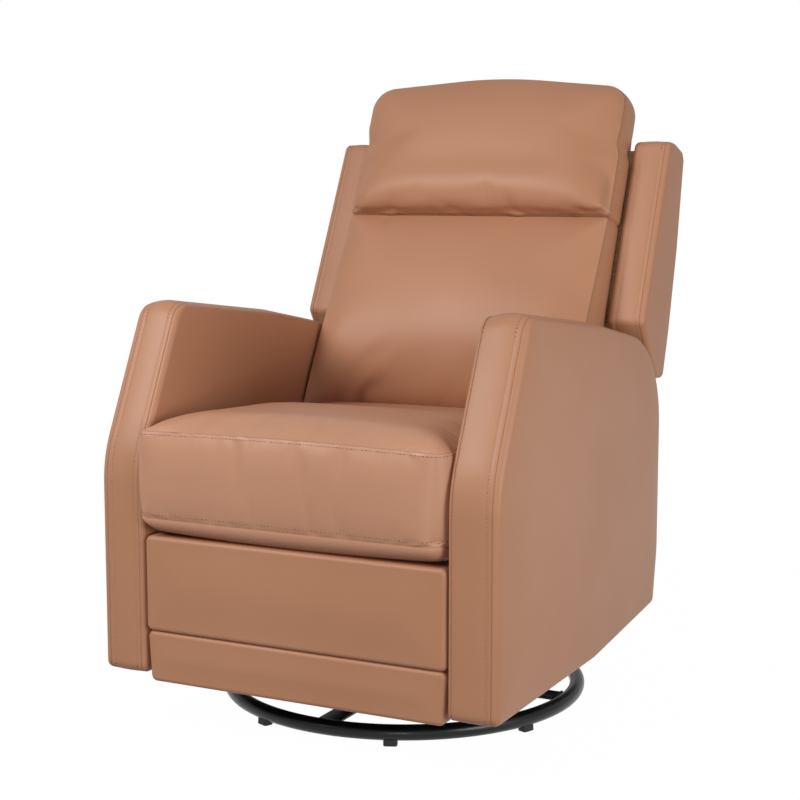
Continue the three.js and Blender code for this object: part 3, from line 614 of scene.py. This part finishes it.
def rolled_edge(half, roll, stitch):
    """Half of a band's rows, from its edge to its middle, as (out, c, seam), the last being the painted shade of the
    seam's valley: a quarter roll of the side panel, by out = -roll (1 - cos t), the seam's valley, then the band, a
    little crowned. Returns the stitches' c too."""
    place = half - roll
    turn = [(-roll * (1 - cos(t)) + 0.25 * sin(2 * t), place + roll * sin(t), 0)
            for t in np.linspace(pi / 2, 0.1, 7)]
    seam = [(-0.2, place + 0.5, 0.2), (-0.9, place, 0.7), (-0.8, place - 0.4, 0.5), (-0.2, place - 1, 0.1)]
    return turn + seam + dimpled(place - 2.4, place - stitch), place - stitch


def wrapped_edge(half, roll, stitch):
    """As rolled_edge, but the band itself turns the corner, and its seam lies on the side."""
    seam = [(-roll - 4, half - 0.4, 0.4), (-roll - 3.4, half - 1.4, 1), (-roll - 2.6, half - 1.0, 0.8),
            (-roll - 1.8, half - 0.1, 0.1)]
    turn = [(-roll * (1 - cos(t)), half - roll + roll * sin(t), 0) for t in np.linspace(pi / 2, 0.1, 6)]
    return seam + turn + dimpled(half - roll - 0.6, half - stitch), half - stitch


def dimpled(edge, stitch):
    """The band's own rows from an edge to its middle: a shallow groove holds the stitches."""
    return [(0.1, edge, 0), (0.1, stitch + 1.4, 0), (-0.3, stitch, 0), (0.05, stitch - 1.4, 0),
            (0.45, stitch - 5, 0), (0.8, stitch * 0.35, 0)]


def across_band(inner, outer):
    """A whole band's rows: the inner half mirrored, the middle row and the outer half run backwards."""
    return np.array([(out, -c, seam) for out, c, seam in inner] + [(0.9, 0, 0)] + outer[::-1])


def side_panel(puff):
    """A side panel that rises from its edge by puff (1 - exp(-edge / 22))."""
    return lambda a, b, edge: puff * (1 - np.exp(-edge / 22))


def band_stitches(name, form, rows, height, place, tilt, body):
    """Stitches round a band, in its groove at a height, whose normals are leant back by a tilt."""
    groove = form.rows[int(np.argmin(np.abs(rows[:, 1] - height) + np.abs(rows[:, 0] + 0.3)))]
    a, b = looped(form.outward).T
    normals = np.stack([0 * a, a * cos(tilt) + b * sin(tilt), b * cos(tilt) - a * sin(tilt)], -1)
    stitching(name, place(looped(form.points[groove])), body, normals)


top_padding, padded_half = 5.0, 31
outer_edge, outer_stitch = rolled_edge(arm_half_width, 11.5, 9.2)
for side, word, (inner_edge, inner_stitch) in ((-1, "left", rolled_edge(arm_half_width, 9.5, 8.5)),
                                               (1, "right", wrapped_edge(arm_half_width, 5.5, 7.4))):
    rows = across_band(inner_edge, outer_edge)
    arm_form = Upholstery(arm_corners, rows, side_panel(3.2), side_panel(-0.8), (0, 2, 4, 6))
    upward = np.clip(arm_form.outward[:, 1], 0, 1) ** 1.5
    padding = top_padding * np.clip(1 - (rows[:, 1:2] / padded_half) ** 2, 0, 1) * upward
    arm_form.points[arm_form.rows, :2] += padding[..., None] * arm_form.outward

    def arm_place(points, side=side):
        """Points of (depth, height, out from the arm's middle) in the row's frame."""
        depth, height, out = points.T
        return in_row(np.stack([side * (arm_middle + out), depth, height], -1))

    cover(f"arm_{word}", arm_form, arm_place, "seat", f"arm_cover_{word}")
    for height, row_word in ((-inner_stitch, "inner"), (outer_stitch, "outer")):
        band_stitches(f"arm_{word}_stitches_{row_word}", arm_form, rows, height, arm_place, 0, "seat")


# Seat cushion. A thick foam block in leather: a crowned top, a boxing that runs round the front and sides
# between two seams, and a rounded lip under the front that hangs over the footrest.
seat_half, seat_right, seat_front, seat_back = 257.5, 255.5, -9, 588
seat_top_seam, seat_bottom_seam, seat_rear_height = 482, 348, 455
seat_crown, lip_hang, lip_sag = 25, 25, 7
lip_run, left_corner, right_corner, rear_corner = 46, 11, 26, 30
cloth_pressure, cloth_stiffness, cloth_bending, cloth_frames = 4.0, 15.0, 2.0, 20


def inflate(made, pinned, cap, slack):
    """Runs Blender's cloth on a cover and keeps its result: each point's move, held to cap tanh(move / cap)."""
    mesh = made.data
    start = np.zeros(len(mesh.vertices) * 3)
    mesh.vertices.foreach_get("co", start)
    start = start.reshape(-1, 3)
    made.vertex_groups.new(name="pinned").add(pinned.tolist(), 1.0, "REPLACE")
    cloth = made.modifiers.new("foam", "CLOTH")
    settings = cloth.settings
    settings.quality = 6
    settings.mass = 0.35
    settings.tension_stiffness = settings.compression_stiffness = cloth_stiffness
    settings.shear_stiffness = cloth_stiffness / 2
    settings.bending_stiffness = cloth_bending
    settings.use_pressure = True
    settings.uniform_pressure_force = cloth_pressure
    settings.effector_weights.gravity = 0
    settings.vertex_group_mass = "pinned"
    settings.shrink_min = -slack
    cloth.collision_settings.use_collision = False
    cloth.point_cache.frame_start, cloth.point_cache.frame_end = 1, cloth_frames
    for number in range(1, cloth_frames + 1):
        scene.frame_set(number)
    shown = made.evaluated_get(bpy.context.evaluated_depsgraph_get())
    blown = np.zeros(len(mesh.vertices) * 3)
    shown.data.vertices.foreach_get("co", blown)
    move = blown.reshape(-1, 3) - start
    length = np.maximum(np.linalg.norm(move, axis=1, keepdims=True), 1e-9)
    limit = cap * 0.001
    move *= limit * np.tanh(length / limit) / length
    made.modifiers.remove(cloth)
    scene.frame_set(1)
    mesh.vertices.foreach_set("co", (start + move).ravel())
    mesh.update()


def swell(made, form, pinned_rows, cap, slack):
    """Blows a cover up over its foam: the rear panel and the pinned rows stay, air pressure lifts the rest,
    slack gives it spare leather, and no point goes further than cap millimetres. One subdivision follows."""
    inflate(made, np.unique(np.concatenate([form.rear, *form.rows[list(pinned_rows)]])), cap, slack)
    subdivision = made.modifiers.new("finer", "SUBSURF")
    subdivision.levels = subdivision.render_levels = 1


# The boxing's rows from seam to seam, as (out, rise, seam), with a groove for each row of stitches. The seam column
# is the painted shade of a seam's valley.
lower_groove, upper_groove = 4, 13
boxing = np.array([
    (-0.7, 0.0, 0.8), (0.0, 0.7, 0.2), (0.4, 2.2, 0), (0.8, 5.2, 0), (0.7, 6.6, 0), (0.9, 8.0, 0), (1.1, 16, 0),
    (1.3, 32, 0), (1.4, 60, 0), (1.4, 85, 0), (1.3, 108, 0), (1.1, 120, 0), (0.8, 127.4, 0), (0.6, 129.0, 0),
    (0.7, 130.4, 0), (0.2, 132.4, 0), (-0.6, 133.4, 0.3), (-1.7, 134.0, 1)]) + (0, seat_bottom_seam, 0)


def step_between(value, low, high):
    """0 below low, 1 above high, and 3 q^2 - 2 q^3 between them."""
    share = np.clip((value - low) / (high - low), 0, 1)
    return share * share * (3 - 2 * share)


def seat_top(a, b, edge):
    """Top panel: rises steeply from its seam to a crown, highest near the front, and falls towards the rear."""
    back_share = np.clip((b - seat_front) / (seat_back - seat_front), 0, 1)
    level = (1 - 0.15 * (a / seat_half) ** 2) * (1 - 0.85 * step_between(b, 230, 460))
    crown = seat_crown * (1 - np.exp(-edge / 24)) * level
    return crown - (seat_top_seam - seat_rear_height) * back_share + 1.2 * (1 - np.exp(-edge / 3))


def lip_start(a):
    """How far behind the seat's front the outline lies: the arcs of its two front corners."""
    left = np.clip(left_corner - (a + seat_half), 0, left_corner)
    right = np.clip(a - (seat_right - right_corner), 0, right_corner)
    return (seat_front + left_corner - np.sqrt(left_corner ** 2 - left ** 2)
            + right_corner - np.sqrt(right_corner ** 2 - right ** 2))


def seat_underside(a, b, edge):
    """Underside: a quarter-round lip, hang sqrt(1 - (1 - u)^2), deepest at the middle, then the flat deck."""
    hang = lip_hang + lip_sag * np.clip(1 - (a / seat_half) ** 2, 0, 1)
    from_left, from_right = np.maximum(a + seat_half, 0), np.maximum(seat_right - a, 0)
    drawn = np.clip((b - lip_start(a)) / lip_run, 0, 1) ** 1.6
    lip = np.sqrt(1 - (1 - drawn) ** 2) * (1 - np.exp(-from_left / 4)) * (1 - np.exp(-from_right / 2))
    return -hang * lip * (1 - step_between(b, lip_run, 72)) - 3.6 * (1 - np.exp(-edge / 12))


seat_form = Upholstery([(-seat_half, seat_front, left_corner), (seat_right, seat_front, right_corner),
                        (seat_right, seat_back, rear_corner), (-seat_half, seat_back, rear_corner)],
                       boxing, seat_top, seat_underside)
across, deep, high = seat_form.points.T
under = (high < seat_bottom_seam - 0.2) & (deep < seat_front + lip_run)
run = np.clip((deep - lip_start(across)) / lip_run, 0, 1)
forward = lip_run * (run - run ** 1.6) + 3.5 * np.sin(pi * run ** 0.6)
spill = 6 * np.clip(-across / seat_half, 0, 1) ** 6 * step_between(-deep, -6, 5) * step_between(high, 300, 322)
bowed = 4 * (1 - (across / seat_half) ** 2) * step_between(high, 360, 480) * step_between(-deep, -120, 0)
seat_form.points += np.stack([-spill, -forward * under, bowed], -1)
# Painted light: the seat gets a lighter copy of the leather, for the brighter light that falls on the seat cushion.
seat_leather_painted_lighter = leather_of("seat_leather_painted_lighter", (193, 141, 112), (189, 137, 108), 0.16)
seat = cover("seat_cushion_leather", seat_form, in_row, None, "seat_cushion", seat_leather_painted_lighter)
swell(seat, seat_form, (0, -1), 8, 0.012)
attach(seat, "seat")


def part_of_ring(ring, first, kept):
    """The kept points of a closed ring, run from the point where first is greatest."""
    order = np.roll(np.arange(len(ring)), -int(np.argmax(first)))
    return ring[order][kept[order]]


for number, row_word in ((lower_groove, "lower"), (upper_groove, "upper")):
    ring = seat_form.points[seat_form.rows[number]]
    path = in_row(part_of_ring(ring, ring[:, 1] + 0.001 * ring[:, 0], ring[:, 1] < 420))
    stitching(f"seat_stitches_{row_word}", path, "seat", panel=seat)


# Footrest panel. Plywood behind two foam pads in one piece of leather, drawn in by a deep pleat between them.
# It hangs closed under the seat's lip, and its edges are rounded and stuffed full.
panel_half, pad_rear, pad_roll = 260, 32, 7


def pad_rows(depth, radius):
    """Rows round a pad from its back to its face: straight, then a quarter of a circle."""
    angle = np.linspace(0, pi / 2, 9)
    back = [(-1.2, 0, 0), (0, 1.2, 0), (0, (depth - radius) / 2, 0)]
    return back + [(-radius * (1 - cos(a)), depth - radius + radius * sin(a), 0) for a in angle]


def pad_face(puff, reach):
    """A face that rises smoothly from the rounded edge: puff (1 - exp(-(edge / reach)^2))."""
    return lambda a, b, edge: puff * (1 - np.exp(-(edge / reach) ** 2))


def flat_back(a, b, edge):
    """A panel that lies flat."""
    return 0 * edge


def pad_place(points):
    """Points of (across, height, forward of the board) in the row's frame."""
    across, height, forward = points.T
    return in_row(np.stack([across, pad_rear - forward, height], -1))


for pad_name, low, high, foot_half, face_depth, node in (
        ("footrest_upper_pad", 164.2, 316, panel_half, -1, "footrest_pad_upper"),
        ("footrest_lower_strip", 82, 163.8, panel_half - 5, 1, "footrest_strip_lower")):
    form = Upholstery([(-foot_half, low, 10), (foot_half, low, 10), (panel_half, high, 10), (-panel_half, high, 10)],
                      pad_rows(pad_rear - face_depth, pad_roll), pad_face(3.5, 45), flat_back)
    cover(pad_name, form, pad_place, "footrest_panel", node)


# Back cushions. The lumbar cushion and the head pillow are fibre-filled leather covers on the back frame: a
# crowned front panel, sewn with a raised seam to a gusset that runs round its sides and top. They are sewn
# together in a deep crease.
lean, crease_depth, crease_height = radians(22.96), 573.6, 455
cushion_rear, cushion_half, lumbar_top, head_foot, puckers = 20, 257, 362, 363, (-178, 80)
lumbar_crown, head_crown, head_roll = 25, 30, 16


def leaning(points):
    """Points of (across, rise along the back, forward of the wing fronts) in the row's frame."""
    x, s, forward = points.T
    depth = crease_depth + s * sin(lean) - forward * cos(lean)
    height = crease_height + s * cos(lean) + forward * sin(lean)
    return in_row(np.stack([x, depth, height], -1))


def gusset_rows(depth):
    """Rows from the rear of a gusset to its front seam, which stands up as a small lip of leather."""
    share = [(-1.0, 0.0, 0), (1.6, 2.5, 0), (3.4, depth * 0.25, 0), (3.6, depth * 0.5, 0), (2.2, depth * 0.75, 0)]
    lip = [(0.4, depth - 7, 0), (0.0, depth - 3.6, 0), (-0.2, depth - 1.9, 0.2), (-1.4, depth - 0.9, 0.9),
           (-1.7, depth - 0.3, 0.9), (-1.1, depth, 0.4)]
    return [(out, c - cushion_rear, seam) for out, c, seam in share + lip]


def dent(a, b, place, width, height, slant):
    """A fold pressed in around a place: exp(-(across / width)^2 - (along / height)^2), leaning by its slant."""
    return np.exp(-((a - place[0] - slant * (b - place[1])) / width) ** 2 - ((b - place[1]) / height) ** 2)


def lumbar_front(a, b, edge):
    """Lumbar panel: a broad crown, puckered along the crease."""
    crown = lumbar_crown * (1 - np.exp(-edge / 40)) * (1 - 0.2 * (2 * b / lumbar_top - 1) ** 2)
    folds = sum(dent(a, b, (x, lumbar_top + 2), 11, 30, slant) for x, slant in zip(puckers, (0.3, -0.25)))
    return crown - 3.5 * folds * (1 - np.exp(-edge / 6))


# The head pillow's folds, as (depth, place, width, height, slant), at its puckers, corners and notches.
head_folds = (
    (5, (-178, 366), 9, 26, 0.5), (5, (80, 366), 9, 26, -0.4), (6, (-244, 378), 7, 26, 0.9),
    (5, (238, 378), 7, 26, -0.9), (3, (238, 502), 30, 6, 0), (2, (-240, 502), 26, 6, 0),
    (1.6, (212, 484), 30, 5, 0), (1.3, (232, 522), 22, 4, 0), (1.3, (236, 540), 20, 4, 0),
    (1.2, (238, 560), 20, 4, 0), (1.2, (-150, 380), 8, 34, 0.2), (1.2, (20, 380), 8, 30, 0.3))


def head_front(a, b, edge):
    """Head panel: fullest low down, where it hangs over the crease, with folds at its corners and notches."""
    crown = head_crown * (1 - np.exp(-edge / 26)) * (1 - 0.12 * (2 * (b - head_foot) / 280 - 1) ** 2)
    roll = head_roll * np.exp(-((b - 404) / 34) ** 2) * (1 - np.exp(-edge / 7)) * (1 - 0.35 * (a / 255) ** 2)
    folds = sum(depth * dent(a, b, *fold) for depth, *fold in head_folds)
    return crown + roll - folds * (1 - np.exp(-edge / 5))


# Last come how far a cushion's foot comes forward, is pulled in and drops, how far its front droops over the
# crease, and its spare leather.
back_cushions = [
    ("lumbar_leather", "lumbar_cushion",
     [(-256, -14, 14), (254, -14, 14), (252, lumbar_top, 8), (-cushion_half, lumbar_top, 6)],
     (0, 1, 2, 3), 58, lumbar_front, 54, 72, 0.4, 0, 0.0),
    ("head_leather", "head_pillow",
     [(-260, head_foot, 6), (254, head_foot, 8), (254, 480, 18), (246, 502, 9), (250, 532, 30), (250, 609, 58),
      (0, 636, 900), (-257, 615, 46), (-257, 532, 30), (-250, 502, 10), (-257, 480, 18)],
     (0, 1, 5, 7), 61, head_front, 0, 0, 0, 21, 0.005),
]
for piece_name, node, corners, four, depth, front, foot_gain, foot_pull, foot_drop, droop, slack in back_cushions:
    form = Upholstery(corners, gusset_rows(depth), front, flat_back, four)
    across, s, forward = form.points.T
    share = np.clip((forward + cushion_rear) / depth, 0, 1.3)
    sides = 0.45 + 0.55 * (across / cushion_half) ** 2
    inner = 1 - np.clip(np.abs(across) / cushion_half, 0, 1) ** 9
    pulled_in = foot_pull * np.clip((170 - s) / 170, 0, 1) ** 2.8 * inner
    thicker = (foot_gain * sides * np.clip(1 - s / lumbar_top, 0, 1) - pulled_in) * share
    lower = foot_drop * np.clip(forward + thicker, 0, None) * np.clip(1 - s / 80, 0, 1)
    drawn_down = sum(1.5 * np.exp(-((across - x) / 10) ** 2) for x in puckers) * np.exp(-np.abs(s - lumbar_top) / 9)
    drooped = droop * np.exp(-((s - 394) / 24) ** 2) * np.clip((forward + cushion_rear - depth) / 20, 0, 1)
    form.points += np.stack([0 * s, -lower - drawn_down - drooped, thicker], -1)
    cushion = cover(piece_name, form, leaning, None, node)
    swell(cushion, form, (0, 1, -1, -2), 12, slack)
    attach(cushion, "back")
    ring = form.points[form.rows[5]]
    for side, word in ((-1, "left"), (1, "right")):
        path = leaning(part_of_ring(ring, -side * ring[:, 0], side * form.outward[:, 0] > 0.45))
        stitching(f"{piece_name}_stitches_{word}", path, "back", panel=cushion)


# Wings. Boxes of plywood and foam beside the back, covered like the arms: a side panel on each side of a band,
# with one line of topstitching along the outer edge of the band. They lean and move with the back.
wing_corners = [(0, 182, 14), (66, 136.9, 30), (103, 116.4, 12), (149, 127, 12), (143, 217, 170), (123, 363, 170),
                (88, 524, 12), (74, 535, 12), (30, 531, 12), (0, 521, 14)]
wing_middle, wing_half_width, wing_top, taper_run = 296.5, 34.5, 521, 348 / 2.2
wing_inner, _ = wrapped_edge(wing_half_width, 9, 16)
wing_outer, wing_stitch = rolled_edge(wing_half_width, 10, 6.5)
wing_rows = across_band(wing_inner, wing_outer)
wing_form = Upholstery(wing_corners, wing_rows, side_panel(2.0), side_panel(-0.5), (0, 3, 6, 9), 7.0)
for side, word, drawn_in in ((-1, "left", 5.0), (1, "right", 0.0)):
    def wing_place(points, side=side, drawn_in=drawn_in):
        """The left wing is narrower at its top: its outer part is drawn in by an even taper."""
        back, rise, out = points.T
        outer_share = np.clip((out + wing_half_width) / (2 * wing_half_width), 0, 1)
        taper = drawn_in * (1 - (wing_top - rise) / taper_run) * outer_share
        return leaning(np.stack([side * (wing_middle + out - taper), rise, -back], -1))

    cover(f"wing_{word}_leather", wing_form, wing_place, "back", f"wing_{word}")
    band_stitches(f"wing_{word}_stitches", wing_form, wing_rows, wing_stitch, wing_place, lean, "back")


# Head cap. The plywood block behind the head pillow is wrapped in leather over thin foam, drawn tight and
# stapled behind. Its top edge is rounded, and it closes the gap between the pillow and the outside back.
cap_rows = [(-3.0, -73, 0), (-0.9, -72, 0), (0, -70, 0), (0.6, -58, 0), (0.8, -46, 0), (0.6, -34, 0), (0, -23, 0),
            (-1.0, -21.4, 0), (-3.0, -20.6, 0)]
cap_form = Upholstery([(-224, 513, 6), (224, 513, 6), (224, 603, 22), (-224, 603, 22)], cap_rows, flat_back,
                      flat_back)
cover("head_cap", cap_form, leaning, "back", "head_block")


# Outside back. A leather panel over thin wadding closes the rear of the back. Its edges are rolled over a strip
# of board, and a row of topstitching follows them all round. It slopes in from the seat to the top.
panel_tilt, panel_foot_setback, panel_foot_rise = np.arctan2(86, 620), 168, -16
panel_edge = [(-2.4, -8, 0), (-0.7, -7.4, 0), (0, -6, 0), (0.1, -3.8, 0), (-0.3, -2.0, 0), (-1.3, -0.7, 0),
              (-3.0, 0, 0)]
panel_stitch_inset, panel_stitch_rise = 14, 3.0


def wadded(puff, reach):
    """A panel over wadding: puff (1 - exp(-edge / reach)), less a groove along its topstitching."""
    def height(a, b, edge):
        return puff * (1 - np.exp(-edge / reach)) - 0.5 * np.exp(-((edge - panel_stitch_inset + 3) / 1.8) ** 2)
    return height


def behind_back(points):
    """Points of (across, up the panel, out to the rear) in the row's frame."""
    x, v, w = points.T
    setback = panel_foot_setback - v * sin(panel_tilt) + w * cos(panel_tilt)
    rise = panel_foot_rise + v * cos(panel_tilt) + w * sin(panel_tilt)
    return leaning(np.stack([x, rise, -setback], -1))


def panel_stitches(name, corners, place, body, panel):
    """Stitches round a panel: its outline, in steps of 2 mm, drawn in by an inset along the inward normals."""
    line, _ = rounded(corners)
    line = points_along(line, np.arange(0, reach_along(looped(line))[-1], 2.0))
    loop = looped(line + panel_stitch_inset * inward_normals(line))
    stitching(name, place(np.column_stack([loop, np.full(len(loop), panel_stitch_rise)])), body, panel=panel)


back_corners = [(-261, 0, 8), (261, 0, 8), (261, 545, 16), (225, 545, 16), (225, 625.5, 40), (-225, 625.5, 40),
                (-225, 545, 16), (-261, 545, 16)]
rear_form = Upholstery(back_corners, panel_edge, wadded(5, 50), flat_back, (0, 1, 4, 5))
rear_panel = cover("outside_back_leather", rear_form, behind_back, "back", "outside_back")
panel_stitches("outside_back_stitches", back_corners, behind_back, "back", rear_panel)


# Lower rear panel. A second panel of the same leather over board closes the rear between the arms, under the
# back, so that the mechanism is hidden from behind. It is stapled to the arms' frames.
valance_depth, valance_corners = 692, oblong(261, 120, 385, 8)
valance_form = Upholstery(valance_corners, panel_edge, wadded(4, 40), flat_back)


def behind_seat(points):
    """Points of (across, height, out to the rear) in the row's frame."""
    across, height, out = points.T
    return in_row(np.stack([across, valance_depth + out, height], -1))


valance = cover("lower_rear_leather", valance_form, behind_seat, "seat", "lower_rear_panel")
panel_stitches("lower_rear_stitches", valance_corners, behind_seat, "seat", valance)


# Floor and light. A white studio: a seamless white floor that only keeps a soft shadow, a broad light from the
# front left and above, a weaker one from the right, and a small one low in front. The room is white to the camera,
# dimmer to a gloss and grey to the light that falls on the chair.
floor_half, floor_grey, floor_glow, floor_white = 6, 0.08, 1.1, 0.9
room_grey, room_in_gloss = 0.27, 0.45


def shown_ray(start, in_gloss=1.0):
    """1 for a ray from the camera or through glass, in_gloss for one that a gloss mirrors, and otherwise 0."""
    seen, mirrored, clear = [start.node("LightPath", output=number) for number in (0, 3, 6)]
    return start.math("MAXIMUM", seen, start.math("MAXIMUM", mirrored * in_gloss, clear))


def grey(value):
    """A grey in the linear values that a shader takes."""
    return (value, value, value, 1)


floor_material = bpy.data.materials.new("white_floor")
floor_material.use_nodes = True
floor_tree = floor_material.node_tree
floor_start = Wire(floor_tree)
bare = floor_tree.nodes["Principled BSDF"]
bare.inputs["Base Color"].default_value = grey(floor_grey)
bare.inputs["Roughness"].default_value = 0.9
glow = floor_start.node("Emission", {}, {"Color": grey(1), "Strength": floor_glow})
mixed = floor_start.node("MixShader", {}, {0: shown_ray(floor_start) * floor_white,
                                           1: Wire(floor_tree, bare.outputs[0]), 2: glow})
floor_tree.links.new(mixed.socket, floor_tree.nodes["Material Output"].inputs["Surface"])
floor_points = floor_half * np.array([[-1, -1, 0], [1, -1, 0], [1, 1, 0], [-1, 1, 0]], float)
floor = build("floor", floor_points, [[0, 1, 2, 3]], floor_material, closed=False)

world = bpy.data.worlds.new("studio")
scene.world = world
world.use_nodes = True
air = Wire(world.node_tree)
shade = shown_ray(air, room_in_gloss).blend(grey(room_grey), grey(1))
sky = air.node("Background", {}, {"Color": shade, "Strength": 1.0})
world.node_tree.links.new(sky.socket, world.node_tree.nodes["World Output"].inputs["Surface"])

light_aim = Vector((0, 0, 0.5))
lights = (("key_light", (-1.2, -2.2, 2.2), 1.5, 58), ("fill_light", (2.7, -1.0, 0.9), 1.4, 39),
          ("front_light", (1.5, -3.2, 0.28), 0.5, 12))
for name, place, size, power in lights:
    lamp = bpy.data.objects.new(name, bpy.data.lights.new(name, "AREA"))
    lamp.data.shape, lamp.data.size, lamp.data.energy = "DISK", size, power
    lamp.location = place
    lamp.rotation_euler = (light_aim - Vector(place)).to_track_quat("-Z", "Y").to_euler()
    scene.collection.objects.link(lamp)

scene.view_settings.view_transform = "Standard"
